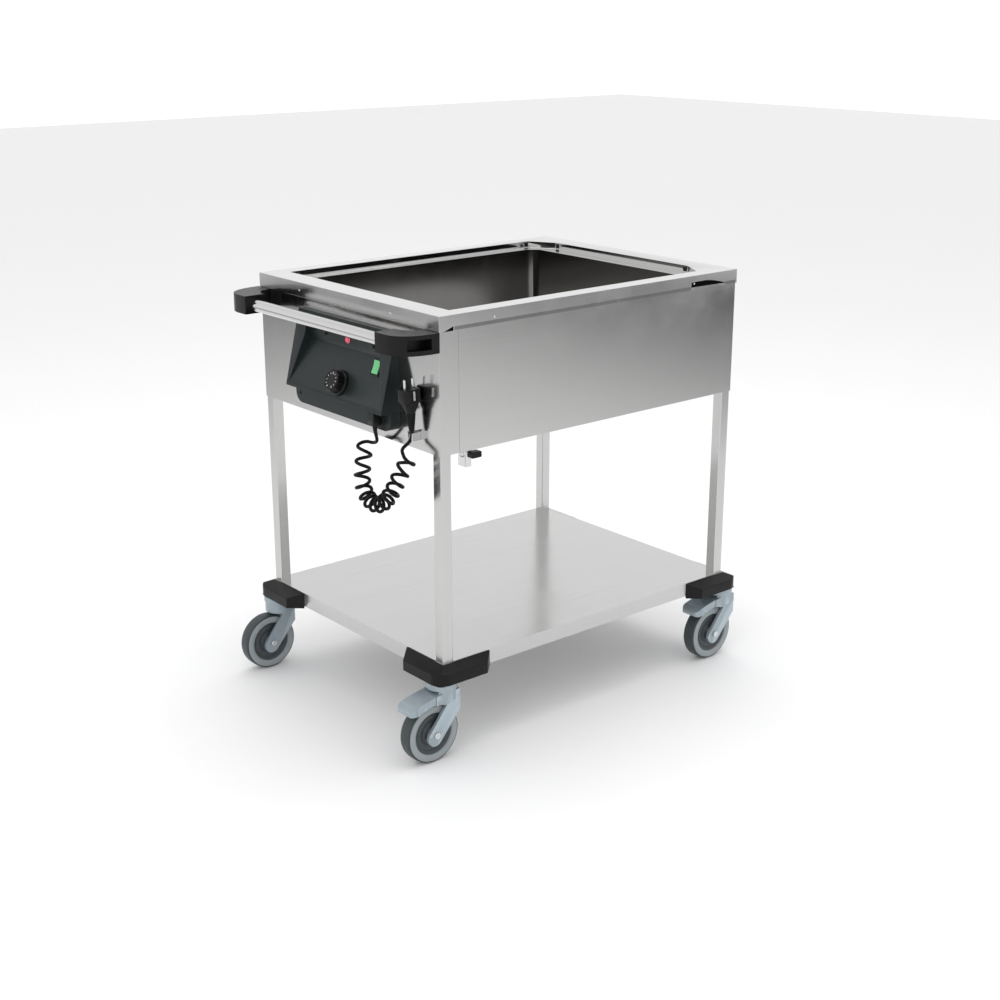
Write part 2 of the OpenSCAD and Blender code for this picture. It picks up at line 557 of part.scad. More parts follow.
top_frame();
well_basin();
control_end_panel();
front_end_panel();
right_side_panel();
left_side_panel();
bottom_cover();
insulation();
heating_element();
thermostat();
safety_thermostat();
terminal_block();
switch_body();
switch_rocker();
pilot_lamp();
control_hood();
control_base();
fasteners();
thermostat_knob();
knob_shaft();
cord_gland();
power_cord_ends();
power_cord_spiral();
plug_body();
plug_pins();
plug_clip();
drain_pipe();
drain_valve_body();
drain_valve_ball();
drain_lever();
leg_rear_right();
leg_rear_left();
leg_front_right();
leg_front_left();
lower_shelf();
bumper_rear_right();
bumper_rear_left();
bumper_front_right();
bumper_front_left();
handle_tube();
handle_bracket_right();
handle_bracket_left();
rim_end_plugs();
castor_heads();
fork_rear_right();
fork_rear_left();
fork_front_right();
fork_front_left();
axle_rear_right();
axle_rear_left();
axle_front_right();
axle_front_left();
wheel_rear_right();
wheel_rear_left();
wheel_front_right();
wheel_front_left();
brake_pedal_rear_right();
brake_pedal_front_right();
heater_tray();
castor_plates();
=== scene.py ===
import json
import math
import bpy
import bmesh
from mathutils import Vector, Matrix


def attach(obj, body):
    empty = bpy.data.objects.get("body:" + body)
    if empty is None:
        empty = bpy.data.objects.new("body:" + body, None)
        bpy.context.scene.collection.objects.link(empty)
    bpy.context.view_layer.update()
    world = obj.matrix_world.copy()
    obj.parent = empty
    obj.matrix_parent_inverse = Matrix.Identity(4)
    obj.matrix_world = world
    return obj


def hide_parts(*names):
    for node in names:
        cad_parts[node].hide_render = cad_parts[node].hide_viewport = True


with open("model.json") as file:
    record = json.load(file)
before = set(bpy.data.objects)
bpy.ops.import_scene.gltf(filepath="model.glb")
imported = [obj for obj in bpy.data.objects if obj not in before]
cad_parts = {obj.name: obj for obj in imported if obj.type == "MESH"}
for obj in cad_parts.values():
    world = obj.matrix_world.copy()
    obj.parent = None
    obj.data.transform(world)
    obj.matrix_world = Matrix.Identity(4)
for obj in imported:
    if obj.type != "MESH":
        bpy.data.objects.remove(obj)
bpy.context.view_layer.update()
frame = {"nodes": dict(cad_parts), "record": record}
NODES = frame["nodes"]
XO = 34.5


def P(x, y, z):
    """A point of the casing's own frame, in mm, as metres in the row frame."""
    return Vector(((x + XO) / 1000.0, y / 1000.0, z / 1000.0))


scene = bpy.context.scene
scene.view_settings.view_transform = "Standard"
scene.view_settings.look = "None"

# ------------------------------------------------------------ camera
AZ, EL = math.radians(-39.90), math.radians(18.07)
back = Vector((math.sin(AZ) * math.cos(EL), -math.cos(AZ) * math.cos(EL), math.sin(EL)))
right = Vector((math.cos(AZ), math.sin(AZ), 0))
up = back.cross(right)
cam_data = bpy.data.cameras.new("camera")
cam = bpy.data.objects.new("camera", cam_data)
scene.collection.objects.link(cam)
m = Matrix((right, up, back)).transposed().to_4x4()
m.translation = P(-2133, -2552, 1467)
cam.matrix_world = m
cam_data.sensor_width = 36
cam_data.lens = 55.97
cam_data.clip_start = 0.05
cam_data.clip_end = 60
scene.camera = cam


# ------------------------------------------------------------ materials
def _noise(nt, co, scale, detail=4.0, rough=0.55):
    mp = nt.nodes.new("ShaderNodeMapping")
    mp.inputs["Scale"].default_value = scale
    nt.links.new(co, mp.inputs["Vector"])
    n = nt.nodes.new("ShaderNodeTexNoise")
    n.inputs["Scale"].default_value = 1.0
    n.inputs["Detail"].default_value = detail
    n.inputs["Roughness"].default_value = rough
    nt.links.new(mp.outputs["Vector"], n.inputs["Vector"])
    return n.outputs["Fac"]


def material(name, base, metal=0.0, rough=0.4, var=0.06, vscale=(5, 5, 5), rvar=0.08, rscale=(9, 9, 9),
             bump=0.15, bscale=(1200, 1200, 1200), bdist=0.0002, coat=0.0, spec=0.5, emission=None, estr=0.0, edge_lighten=0.0, alpha_t=0.0):
    mt = bpy.data.materials.new(name)
    mt.use_nodes = True
    nt = mt.node_tree
    b = nt.nodes["Principled BSDF"]
    co = nt.nodes.new("ShaderNodeTexCoord").outputs["Object"]
    b.inputs["Metallic"].default_value = metal
    b.inputs["Specular IOR Level"].default_value = spec
    b.inputs["Coat Weight"].default_value = coat
    b.inputs["Transmission Weight"].default_value = alpha_t
    if emission:
        b.inputs["Emission Color"].default_value = (*emission, 1)
        b.inputs["Emission Strength"].default_value = estr
    # colour: soft blotches plus a finer grain
    f1 = _noise(nt, co, vscale, 5)
    mix = nt.nodes.new("ShaderNodeMix"); mix.data_type = "RGBA"
    mix.inputs["A"].default_value = (*[max(0, c * (1 - var)) for c in base], 1)
    mix.inputs["B"].default_value = (*[min(1, c * (1 + var)) for c in base], 1)
    nt.links.new(f1, mix.inputs["Factor"])
    out = mix.outputs["Result"]
    # lighten the colour on sharp convex edges, picked out by pointiness
    if edge_lighten > 0:
        geo = nt.nodes.new("ShaderNodeNewGeometry")
        ramp = nt.nodes.new("ShaderNodeValToRGB")
        ramp.color_ramp.elements[0].position = 0.53
        ramp.color_ramp.elements[1].position = 0.60
        nt.links.new(geo.outputs["Pointiness"], ramp.inputs["Fac"])
        mul = nt.nodes.new("ShaderNodeMath"); mul.operation = "MULTIPLY"; mul.inputs[1].default_value = edge_lighten
        nt.links.new(ramp.outputs["Color"], mul.inputs[0])
        mx = nt.nodes.new("ShaderNodeMix"); mx.data_type = "RGBA"
        nt.links.new(mul.outputs[0], mx.inputs["Factor"])
        nt.links.new(out, mx.inputs["A"])
        mx.inputs["B"].default_value = (*[min(1, c * 1.9 + 0.03) for c in base], 1)
        out = mx.outputs["Result"]
    nt.links.new(out, b.inputs["Base Color"])
    # roughness
    f2 = _noise(nt, co, rscale, 6, 0.65)
    mr = nt.nodes.new("ShaderNodeMapRange")
    mr.inputs["From Min"].default_value = 0.3; mr.inputs["From Max"].default_value = 0.7
    mr.inputs["To Min"].default_value = max(0.02, rough - rvar); mr.inputs["To Max"].default_value = rough + rvar
    nt.links.new(f2, mr.inputs["Value"])
    nt.links.new(mr.outputs["Result"], b.inputs["Roughness"])
    if bump > 0:
        f3 = _noise(nt, co, bscale, 3)
        bp = nt.nodes.new("ShaderNodeBump")
        bp.inputs["Strength"].default_value = bump
        bp.inputs["Distance"].default_value = bdist
        nt.links.new(f3, bp.inputs["Height"])
        nt.links.new(bp.outputs["Normal"], b.inputs["Normal"])
    return mt


def steel(name, axis, base=(0.56, 0.557, 0.55), rough=0.14, rvar=0.05, var=0.035, bump=0.10):
    """Brushed sheet with its grain along one axis."""
    g = [520, 520, 520]; g[axis] = 5
    v = [260, 260, 260]; v[axis] = 2.5
    return material(name, base, 1.0, rough, var, tuple(v), rvar, (7, 9, 8), bump, tuple(g), 0.00012)


M = {
    "steel_x": steel("steel_grain_x", 0),
    "steel_y": steel("steel_grain_y", 1),
    "steel_z": steel("steel_grain_z", 2, rough=0.2),
    "shelf": steel("shelf_steel", 0, (0.56, 0.56, 0.555), 0.2, 0.04, 0.05, 0.14),
    "rim": steel("rim_steel", 0, (0.58, 0.58, 0.575), 0.16, 0.04),
    "wall": steel("recess_wall_steel", 0, (0.55, 0.55, 0.545), 0.07, 0.02, 0.02, 0.04),
    # steel darkened for the set-back strip under the long skirts: painted shade of the skirt's overhang
    "painted_shade_strip": steel("strip_steel", 0, (0.26, 0.26, 0.257), 0.25),
    # stainless basin given a far darker base than the other steel so the deep well renders dark: painted shade
    "well": steel("well_steel", 2, (0.165, 0.162, 0.155), 0.22, 0.05, 0.06, 0.05),
    "tube": steel("tube_steel", 1, (0.58, 0.58, 0.575), 0.12),
    "bright": material("bright_steel", (0.66, 0.67, 0.67), 1.0, 0.16, 0.05, (40, 40, 40), 0.05, (60, 60, 60), 0.04),
    "zinc": material("castor_zinc", (0.31, 0.365, 0.40), 0.35, 0.36, 0.10, (70, 70, 70), 0.08, (120, 120, 120), 0.10, (500, 500, 500), 0.0002, edge_lighten=0.35),
    "black": material("black_plastic", (0.0028, 0.0030, 0.0030), 0.0, 0.36, 0.2, (60, 60, 60), 0.06, (90, 90, 90), 0.18, (1600, 1600, 1600), 0.00015, edge_lighten=0.12, spec=0.22),
    "hood": material("hood_plastic", (0.0125, 0.0180, 0.0180), 0.0, 0.36, 0.12, (18, 18, 18), 0.05, (30, 30, 30), 0.20, (1500, 1500, 1500), 0.00015, edge_lighten=0.15, spec=0.24),
    "bumper": material("bumper_rubber", (0.0030, 0.0030, 0.0031), 0.0, 0.38, 0.2, (60, 60, 60), 0.08, (70, 70, 70), 0.2, (900, 900, 900), 0.0002, edge_lighten=0.15, spec=0.22),
    "tyre": material("tyre_rubber", (0.028, 0.039, 0.041), 0.0, 0.46, 0.14, (90, 90, 90), 0.08, (90, 90, 90), 0.15, (800, 800, 800), 0.0002),
    "ring": material("wheel_rim", (0.27, 0.30, 0.31), 0.0, 0.42, 0.06, (90, 90, 90), 0.07, (120, 120, 120), 0.1, (900, 900, 900), 0.00015),
    "hub": material("wheel_hub", (0.040, 0.049, 0.054), 0.0, 0.40, 0.12, (60, 60, 60), 0.08, (90, 90, 90), 0.15, (900, 900, 900), 0.0002),
    "cord": material("cord_rubber", (0.0016, 0.0016, 0.0017), 0.0, 0.42, 0.2, (200, 200, 200), 0.07, (200, 200, 200), 0.1, (2500, 2500, 2500), 0.0001, spec=0.16),
    "wool": material("mineral_wool", (0.62, 0.52, 0.26), 0.0, 0.95, 0.3, (60, 60, 60), 0.03, (60, 60, 60), 0.9, (300, 300, 300), 0.002),
    "ceramic": material("ceramic", (0.75, 0.73, 0.68), 0.0, 0.35, 0.06, (60, 60, 60), 0.08, (80, 80, 80), 0.1),
    "green": material("green_lens", (0.10, 0.46, 0.17), 0.0, 0.16, 0.22, (70, 70, 70), 0.05, (60, 60, 60), 0.03, (900, 900, 900), 0.0001, 0.4, 0.5, (0.08, 0.62, 0.16), 0.10),
    "red": material("red_lens", (0.62, 0.08, 0.13), 0.0, 0.15, 0.1, (80, 80, 80), 0.04, (80, 80, 80), 0.02, (900, 900, 900), 0.0001, 0.5, 0.5, (0.9, 0.1, 0.2), 0.25),
    "heater": material("heater_tube", (0.25, 0.16, 0.11), 0.9, 0.4, 0.3, (30, 30, 30), 0.1, (40, 40, 40), 0.1),
    "mark": material("dial_marks", (0.62, 0.63, 0.62), 0.0, 0.5, 0.08, (90, 90, 90), 0.05, (90, 90, 90), 0.05),
    # near-black fill for the screw slots and the skirt's finger notches: painted shade of the recesses
    "painted_shade_gap": material("painted_shade_fill", (0.0010, 0.0010, 0.0010), 0.0, 0.6, 0.2, (60, 60, 60), 0.08, (60, 60, 60), 0.15, spec=0.03),
}


# ------------------------------------------------------------ building helpers
def make_object(name, bm_, mats, body, replaces=(), smooth=40, bevel=0.0, seg=2, bevel_angle=28, subsurf=0):
    me = bpy.data.meshes.new(name)
    bmesh.ops.recalc_face_normals(bm_, faces=bm_.faces)
    bm_.to_mesh(me); bm_.free()
    for mt in mats:
        me.materials.append(mt)
    me.polygons.foreach_set("use_smooth", [True] * len(me.polygons))
    me.set_sharp_from_angle(angle=math.radians(smooth))
    ob = bpy.data.objects.new(name, me)
    scene.collection.objects.link(ob)
    if bevel > 0:
        bv = ob.modifiers.new("bevel", "BEVEL")
        bv.width = bevel; bv.segments = seg; bv.limit_method = "ANGLE"; bv.angle_limit = math.radians(bevel_angle)
        bv.harden_normals = True; bv.use_clamp_overlap = True
    if subsurf:
        sb = ob.modifiers.new("subsurf", "SUBSURF"); sb.levels = subsurf; sb.render_levels = subsurf
    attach(ob, body)
    if replaces:
        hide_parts(*replaces)
    return ob


BODY_OF = {n: b for b, ns in frame["record"]["behaviour"]["bodies"].items() for n in ns}


def refine(node, mat, bevel=0.0006, seg=2, angle=28, smooth=40, assign=None):
    """The CAD node again with true rounded edges: welded, flat faces merged, edges bevelled."""
    bm_ = bmesh.new()
    bm_.from_mesh(NODES[node].data)
    bmesh.ops.remove_doubles(bm_, verts=bm_.verts, dist=2e-6)
    bmesh.ops.dissolve_limit(bm_, angle_limit=math.radians(0.3), verts=bm_.verts, edges=bm_.edges, use_dissolve_boundaries=False)
    if assign:
        for f in bm_.faces:
            f.material_index = assign(f)
    mats = mat if isinstance(mat, (list, tuple)) else [mat]
    return make_object(node + "_v", bm_, mats, BODY_OF[node], (node,), smooth, bevel, seg, angle)


def paint(node, mat):
    o = NODES[node]
    o.data.materials.clear() if False else None
    for s in o.material_slots:
        s.material = mat


def lathe(bm_, profile, centre, axis, ref, segs=48, mats=None, close=False):
    """Turns (radius, height) points about an axis. mats gives a material index per stretch."""
    axis = Vector(axis).normalized()
    u = Vector(ref); u = (u - axis * u.dot(axis)).normalized()
    w = axis.cross(u)
    centre = Vector(centre)
    rings = []
    for r, h in profile:
        if r < 1e-7:
            rings.append([bm_.verts.new(centre + axis * h)])
        else:
            rings.append([bm_.verts.new(centre + axis * h + (u * math.cos(2 * math.pi * k / segs) + w * math.sin(2 * math.pi * k / segs)) * r) for k in range(segs)])
    for i in range(len(rings) - 1 + (1 if close else 0)):
        a, b = rings[i], rings[(i + 1) % len(rings)]
        for k in range(segs):
            k2 = (k + 1) % segs
            if len(a) == 1 and len(b) == 1:
                continue
            if len(a) == 1:
                f = bm_.faces.new((a[0], b[k], b[k2]))
            elif len(b) == 1:
                f = bm_.faces.new((a[k], b[0], a[k2]))
            else:
                f = bm_.faces.new((a[k], b[k], b[k2], a[k2]))
            if mats:
                f.material_index = mats[i]


def boxm(bm_, lo, hi, mi=0):
    g = bmesh.ops.create_cube(bm_, size=1.0)
    vs = g["verts"]
    for v in vs:
        v.co = Vector([lo[i] + (v.co[i] + 0.5) * (hi[i] - lo[i]) for i in range(3)])
    for f in {f for v in vs for f in v.link_faces}:
        f.material_index = mi
    return vs


# ------------------------------------------------------------ cord (before everything else that is made)
def catmull(pts, n=12):
    out = []
    for i in range(len(pts) - 1):
        p0 = pts[max(i - 1, 0)]; p1 = pts[i]; p2 = pts[i + 1]; p3 = pts[min(i + 2, len(pts) - 1)]
        for k in range(n):
            t = k / n
            out.append(0.5 * ((2 * p1) + (p2 - p0) * t + (2 * p0 - 5 * p1 + 4 * p2 - p3) * t * t + (3 * p1 - p0 - 3 * p2 + p3) * t ** 3))
    out.append(pts[-1].copy())
    return out


def resample(pts, step):
    ds = [0.0]
    for a, b in zip(pts, pts[1:]):
        ds.append(ds[-1] + (b - a).length)
    n = max(2, int(round(ds[-1] / step)))
    out, j = [], 0
    for i in range(n + 1):
        s = ds[-1] * i / n
        while j < len(ds) - 2 and ds[j + 1] < s:
            j += 1
        w = (s - ds[j]) / max(1e-9, ds[j + 1] - ds[j])
        out.append(pts[j].lerp(pts[j + 1], w))
    return out, ds[-1]


COIL = [(-440, -112, 620), (-441, -111, 611), (-446, -113, 592), (-451, -116, 571), (-457, -123, 552), (-462, -135, 535), (-465, -153, 522), (-467, -175, 516), (-465, -195, 519), (-462, -211, 532), (-456, -221, 549), (-450, -229, 568), (-442, -234, 589), (-434, -237, 603), (-431, -241, 613), (-429, -244, 620)]
GLAND = (-441, -147, 664)
PLUG = (-423, -244, 668)
CORD_D = 6.9
R_COIL = 14.2
# distance along the coil's middle line for each turn, from the first outer bend to the last
PITCH = [27.5, 24, 21.5, 19.5, 17, 14.5, 13, 13, 13.5, 16, 19, 22, 25]


def smooth01(t):
    t = max(0.0, min(1.0, t))
    return t * t * (3 - 2 * t)


def cord_path():
    step = 0.0004
    axis, total = resample(catmull([P(*p) for p in COIL], 16), step)
    n = len(axis)
    scale = (total * 1000 - 7.0 - 3.5) / sum(PITCH)
    ks = [0.0, 7.0]
    kp = [0.13, 0.5]
    for q in PITCH:
        ks.append(ks[-1] + q * scale)
        kp.append(kp[-1] + 1.0)
    ks.append(total * 1000)
    kp.append(kp[-1] + 0.16)
    raw = []
    j = 0
    for i in range(n):
        x = total * 1000 * i / (n - 1)
        while j < len(ks) - 2 and ks[j + 1] < x:
            j += 1
        raw.append(kp[j] + (kp[j + 1] - kp[j]) * (x - ks[j]) / (ks[j + 1] - ks[j]))
    w = 9
    turns = []
    for i in range(n):
        h = min(w, i, n - 1 - i)
        turns.append(sum(raw[i - h:i + h + 1]) / (2 * h + 1))
    pts = []
    e1 = None
    for i in range(n):
        t = (axis[min(i + 1, n - 1)] - axis[max(i - 1, 0)]).normalized()
        if e1 is None:
            e1 = (right - t * right.dot(t)).normalized()
        else:
            e1 = (e1 - t * e1.dot(t)).normalized()
        e2 = t.cross(e1)
        a = -2 * math.pi * turns[i]
        pts.append(axis[i] + (e1 * math.cos(a) + e2 * math.sin(a)) * (R_COIL / 1000))
    start, end = pts[0], pts[-1]
    g = P(*GLAND)
    t0 = (pts[6] - pts[0]).normalized(); t1 = (pts[-1] - pts[-7]).normalized()

    def bez(a, b, c, d, k=60):
        return [a * (1 - u) ** 3 + b * 3 * u * (1 - u) ** 2 + c * 3 * u * u * (1 - u) + d * u ** 3 for u in [j / k for j in range(k + 1)]]
    lead = bez(g, g + Vector((0, 0, -0.024)), start - t0 * 0.024, start)
    pl = P(*PLUG)
    tail = bez(end, end + t1 * 0.026, pl + Vector((0.0017, 0, -0.030)), pl)
    full = lead[:-1] + pts + tail[1:]
    res, L = resample(full, 0.0030)
    return res, L


path, cord_len = cord_path()
cu = bpy.data.curves.new("power_cord", "CURVE")
cu.dimensions = "3D"
sp = cu.splines.new("POLY")
sp.points.add(len(path) - 1)
for q, p in zip(sp.points, path):
    q.co = (*p, 1)
sp.use_smooth = True
cu.bevel_depth = CORD_D / 2000
cu.bevel_resolution = 4
cu.use_fill_caps = True
cu.materials.append(M["cord"])
cord_ob = bpy.data.objects.new("power_cord", cu)
scene.collection.objects.link(cord_ob)
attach(cord_ob, "chassis")
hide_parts("power_cord_ends", "power_cord_spiral")

# plug: ribbed strain relief, waist with finger flats, rectangular head
PT = Matrix.Translation(P(*PLUG)) @ Matrix.Rotation(math.radians(-3.5), 4, "Y")


def superring(bm_, h, a, b, n, k=40):
    ring = []
    for i in range(k):
        t = 2 * math.pi * i / k
        c, s = math.cos(t), math.sin(t)
        r = (abs(c) ** n + abs(s) ** n) ** (-1.0 / n)
        ring.append(bm_.verts.new(PT @ Vector((a * r * c / 1000, b * r * s / 1000, h / 1000))))
    return ring


bm = bmesh.new()
rings = []
secs = [(0, 3.9, 3.9, 2)]
for i in range(8):
    h0 = 2.0 + i * 4.6
    ro = 5.6 + i * 0.62
    secs += [(h0, ro - 1.3, ro - 1.3, 2), (h0 + 0.5, ro, ro, 2), (h0 + 2.6, ro + 0.1, ro + 0.1, 2), (h0 + 3.1, ro - 1.1, ro - 1.1, 2)]
secs += [(39.5, 9.2, 9.0, 2.1), (42, 11, 10, 2.4), (50, 13.6, 11.2, 2.8), (57, 16.6, 12.6, 3.2), (60, 18.6, 14.2, 3.8), (61, 19.3, 15.4, 4.2), (63, 19.5, 15.8, 4.5), (83, 19.5, 15.8, 4.5), (85.2, 18.9, 15.2, 4.5), (86.2, 17.6, 14, 4.5), (86.2, 12, 9, 4)]
for s in secs:
    rings.append(superring(bm, *s))
for a, b in zip(rings, rings[1:]):
    for k in range(40):
        bm.faces.new((a[k], a[(k + 1) % 40], b[(k + 1) % 40], b[k]))
bm.faces.new(rings[0]); bm.faces.new(rings[-1])
plug = make_object("plug", bm, [M["black"]], "chassis", ("plug_body",), smooth=38)
paint("plug_pins", M["bright"])
bm = bmesh.new()
for s in (-1, 1):
    vs = boxm(bm, (-0.0022, s * 0.0163 - 0.0004, 0.066), (0.0022, s * 0.0163 + 0.0004, 0.084))
    for v in vs:
        v.co = PT @ v.co
contacts = make_object("plug_contacts", bm, [M["bright"]], "chassis", bevel=0.0002)

# gland: square clamp block, its screw, and a tapered sleeve round the first stretch of the cord
bm = bmesh.new()
g0 = P(*GLAND)
rings = []
for a_, h in ((8.6, 0.0), (9.5, 0.0012), (9.9, 0.012), (10.0, 0.0272)):
    rings.append([bm.verts.new(g0 + Vector((sx * (a_ - cx_) / 1000, sy * (a_ - cy_) / 1000, h))) for sx, sy, cx_, cy_ in ((1, 1, 0, 1.6), (1, 1, 1.6, 0), (-1, 1, 1.6, 0), (-1, 1, 0, 1.6), (-1, -1, 0, 1.6), (-1, -1, 1.6, 0), (1, -1, 1.6, 0), (1, -1, 0, 1.6))])
for r0, r1 in zip(rings, rings[1:]):
    for j in range(8):
        bm.faces.new((r0[j], r0[(j + 1) % 8], r1[(j + 1) % 8], r1[j]))
bm.faces.new(rings[0]); bm.faces.new(rings[-1])
lathe(bm, [(0.0062, -0.0006), (0.0066, 0.0), (0.0066, 0.004)], g0, (0, 0, 1), (1, 0, 0), 32)
# tapered sleeve following the cord
k = 0
prev = None
sl = path[:9]
for i, p in enumerate(sl):
    t = (path[i + 1] - path[max(i - 1, 0)]).normalized()
    u = t.cross(Vector((0, 1, 0))).normalized(); w = t.cross(u)
    r = (4.6 - 1.05 * i / (len(sl) - 1)) / 1000 + (0.00012 if i % 2 else -0.0001)
    ring = [bm.verts.new(p + (u * math.cos(2 * math.pi * j / 28) + w * math.sin(2 * math.pi * j / 28)) * r) for j in range(28)]
    if prev:
        for j in range(28):
            bm.faces.new((prev[j], prev[(j + 1) % 28], ring[(j + 1) % 28], ring[j]))
    prev = ring
bm.faces.new(prev)
make_object("cord_gland_v", bm, [M["black"]], "chassis", ("cord_gland",), smooth=40)

# ------------------------------------------------------------ sheet metal


def frame_face(f):
    c = f.calc_center_median(); n = f.normal
    y, z = abs(c.y), c.z
    # faces of the set-back strip at the foot of the long skirts take slot 2, the darkened steel: painted shade
    if abs(n.y) > 0.9 and 0.3112 < y < 0.3122 and z < 0.8776:
        return 2
    if abs(n.z) < 0.3 and 0.8853 < z < 0.8995 and y < 0.28 and abs(c.x - 0.0345) < 0.36:
        return 1
    return 0


refine("top_frame", [M["rim"], M["wall"], M["painted_shade_strip"]], 0.0009, 3, 30, assign=frame_face)
refine("well_basin", [M["well"]], 0.0, 2)
for n in ("control_end_panel", "front_end_panel"):
    refine(n, M["steel_y"], 0.0005)
for n in ("right_side_panel", "left_side_panel"):
    refine(n, M["steel_x"], 0.0005)
refine("bottom_cover", M["steel_x"], 0.0004)
refine("lower_shelf", M["shelf"], 0.0012, 3)
for n in ("leg_rear_right", "leg_rear_left", "leg_front_right", "leg_front_left"):
    refine(n, M["steel_z"], 0.0022, 4)
refine("rim_end_plugs", M["black"], 0.0004)
for n in ("insulation",):
    paint(n, M["wool"])
for n in ("heating_element",):
    paint(n, M["heater"])
for n in ("heater_tray", "thermostat", "safety_thermostat", "castor_plates", "knob_shaft"):
    paint(n, M["zinc"])
paint("terminal_block", M["ceramic"])
paint("drain_pipe", M["bright"])
paint("drain_valve_ball", M["bright"])
refine("drain_valve_body", M["bright"], 0.0008, 2)
refine("drain_lever", M["black"], 0.0012, 3)
refine("plug_clip", M["bright"], 0.0004)
paint("handle_tube", M["tube"])

# ------------------------------------------------------------ handle brackets
refine("handle_bracket_right", M["black"], 0.0028, 4, 40, 50)
refine("handle_bracket_left", M["black"], 0.0028, 4, 40, 50)

# ------------------------------------------------------------ hood and controls
refine("control_hood", M["hood"], 0.0016, 3, 20, 45)
refine("control_base", M["hood"], 0.0016, 3, 28, 45)
refine("switch_body", M["black"], 0.0006)
refine("switch_rocker", M["green"], 0.0008, 3)
refine("pilot_lamp", M["red"], 0.0005)

T = math.radians(24.36)
SL = Vector((math.sin(T), 0, math.cos(T)))
NO = Vector((-math.cos(T), 0, math.sin(T)))
PAN = P(-452, 0, 697)


def on_panel(y, s, h=0.0):
    return PAN + SL * (s / 1000) + NO * (h / 1000) + Vector((0, y / 1000, 0))


bm = bmesh.new()
for s0, s1, h in ((-0.2, 1.0, 0.9), (3.2, 4.2, 0.7)):
    vs = []
    for y in (-184.0, 151.0):
        for s_, h_ in ((s0, -0.3), (s1, -0.3), (s1, h), (s0, h)):
            vs.append(bm.verts.new(on_panel(y, s_, h_)))
    bm.faces.new(vs[0:4]); bm.faces.new(vs[4:8])
    for j in range(4):
        bm.faces.new((vs[j], vs[(j + 1) % 4], vs[4 + (j + 1) % 4], vs[4 + j]))
make_object("hood_lip", bm, [M["hood"]], "chassis", bevel=0.0003)

# knob: dished skirt, ten-sided grip with rounded edges, recessed face with dial marks
KC = on_panel(-28, 32)
bm = bmesh.new()
lathe(bm, [(0.0, 0.0012), (0.0264, 0.0012), (0.0268, 0.0020), (0.0266, 0.0042), (0.0258, 0.0062), (0.0246, 0.0076), (0.0225, 0.0082)], KC, NO, SL, 72)
ns = 10
prof = [(0.0228, 0.0078), (0.0228, 0.0090), (0.0224, 0.0190), (0.0218, 0.0225), (0.0206, 0.0240), (0.0194, 0.0242), (0.0186, 0.0236), (0.0180, 0.0232), (0.0, 0.0232)]
w_ = NO.cross(SL)
rr = []
seg = 100
for r, h in prof:
    if r < 1e-6:
        rr.append([bm.verts.new(KC + NO * h)])
        continue
    ring = []
    for k in range(seg):
        a = 2 * math.pi * k / seg
        d = (a + math.pi / ns) % (2 * math.pi / ns) - math.pi / ns
        flat = math.cos(math.pi / ns) / math.cos(d)
        grip = smooth01((h - 0.0080) / 0.004) if h < 0.0225 else 1.0
        q = r * (1 + (flat * 1.035 - 1) * (1.0 if r > 0.0188 else 0.0))
        ring.append(bm.verts.new(KC + NO * h + (SL * math.cos(a) + w_ * math.sin(a)) * q))
    rr.append(ring)
for a, b in zip(rr, rr[1:]):
    for k in range(seg):
        if len(b) == 1:
            bm.faces.new((a[k], b[0], a[(k + 1) % seg]))
        else:
            bm.faces.new((a[k], b[k], b[(k + 1) % seg], a[(k + 1) % seg]))
make_object("thermostat_knob_v", bm, [M["black"]], "knob", ("thermostat_knob",), smooth=28)
bm = bmesh.new()
for k in range(11):
    a = math.radians(-150 + 30 * k)
    d = SL * math.cos(a) + w_ * math.sin(a)
    e = NO.cross(d)
    ln, wd = (0.0032, 0.0011) if k % 5 else (0.0042, 0.0016)
    c0 = KC + NO * 0.02325 + d * 0.0148
    vs = [bm.verts.new(c0 + d * sx * ln / 2 + e * sy * wd / 2 + NO * (0.0002 if sz else -0.0001)) for sz in (0, 1) for sx, sy in ((-1, -1), (1, -1), (1, 1), (-1, 1))]
    bm.faces.new(vs[4:8])
    for j in range(4):
        bm.faces.new((vs[j], vs[(j + 1) % 4], vs[4 + (j + 1) % 4], vs[4 + j]))
make_object("knob_marks", bm, [M["mark"]], "knob")


def screw(bm_, c, ax, r, h):
    ax = Vector(ax)
    ref = (0, 1, 0) if abs(ax.y) < 0.5 else (1, 0, 0)
    lathe(bm_, [(0, h * 0.35), (r * 0.22, h * 0.35), (r * 0.42, h * 0.88), (r * 0.60, h), (r * 0.86, h * 0.78), (r, h * 0.35), (r, -0.0002)], c, ax, ref, 24)
    u = Vector(ref); w = ax.cross(u)
    # slot bars across the head take material index 1, the near-black fill: painted shade in the slots
    for d in (u, w):
        e = ax.cross(d)
        vs = [bm_.verts.new(Vector(c) + d * sx * r * 0.5 + e * sy * r * 0.09 + ax * (h * hh)) for hh in (0.4, 1.02) for sx, sy in ((-1, -1), (1, -1), (1, 1), (-1, 1))]
        f = bm_.faces.new(vs[4:8]); f.material_index = 1
        for j in range(4):
            f = bm_.faces.new((vs[j], vs[(j + 1) % 4], vs[4 + (j + 1) % 4], vs[4 + j])); f.material_index = 1


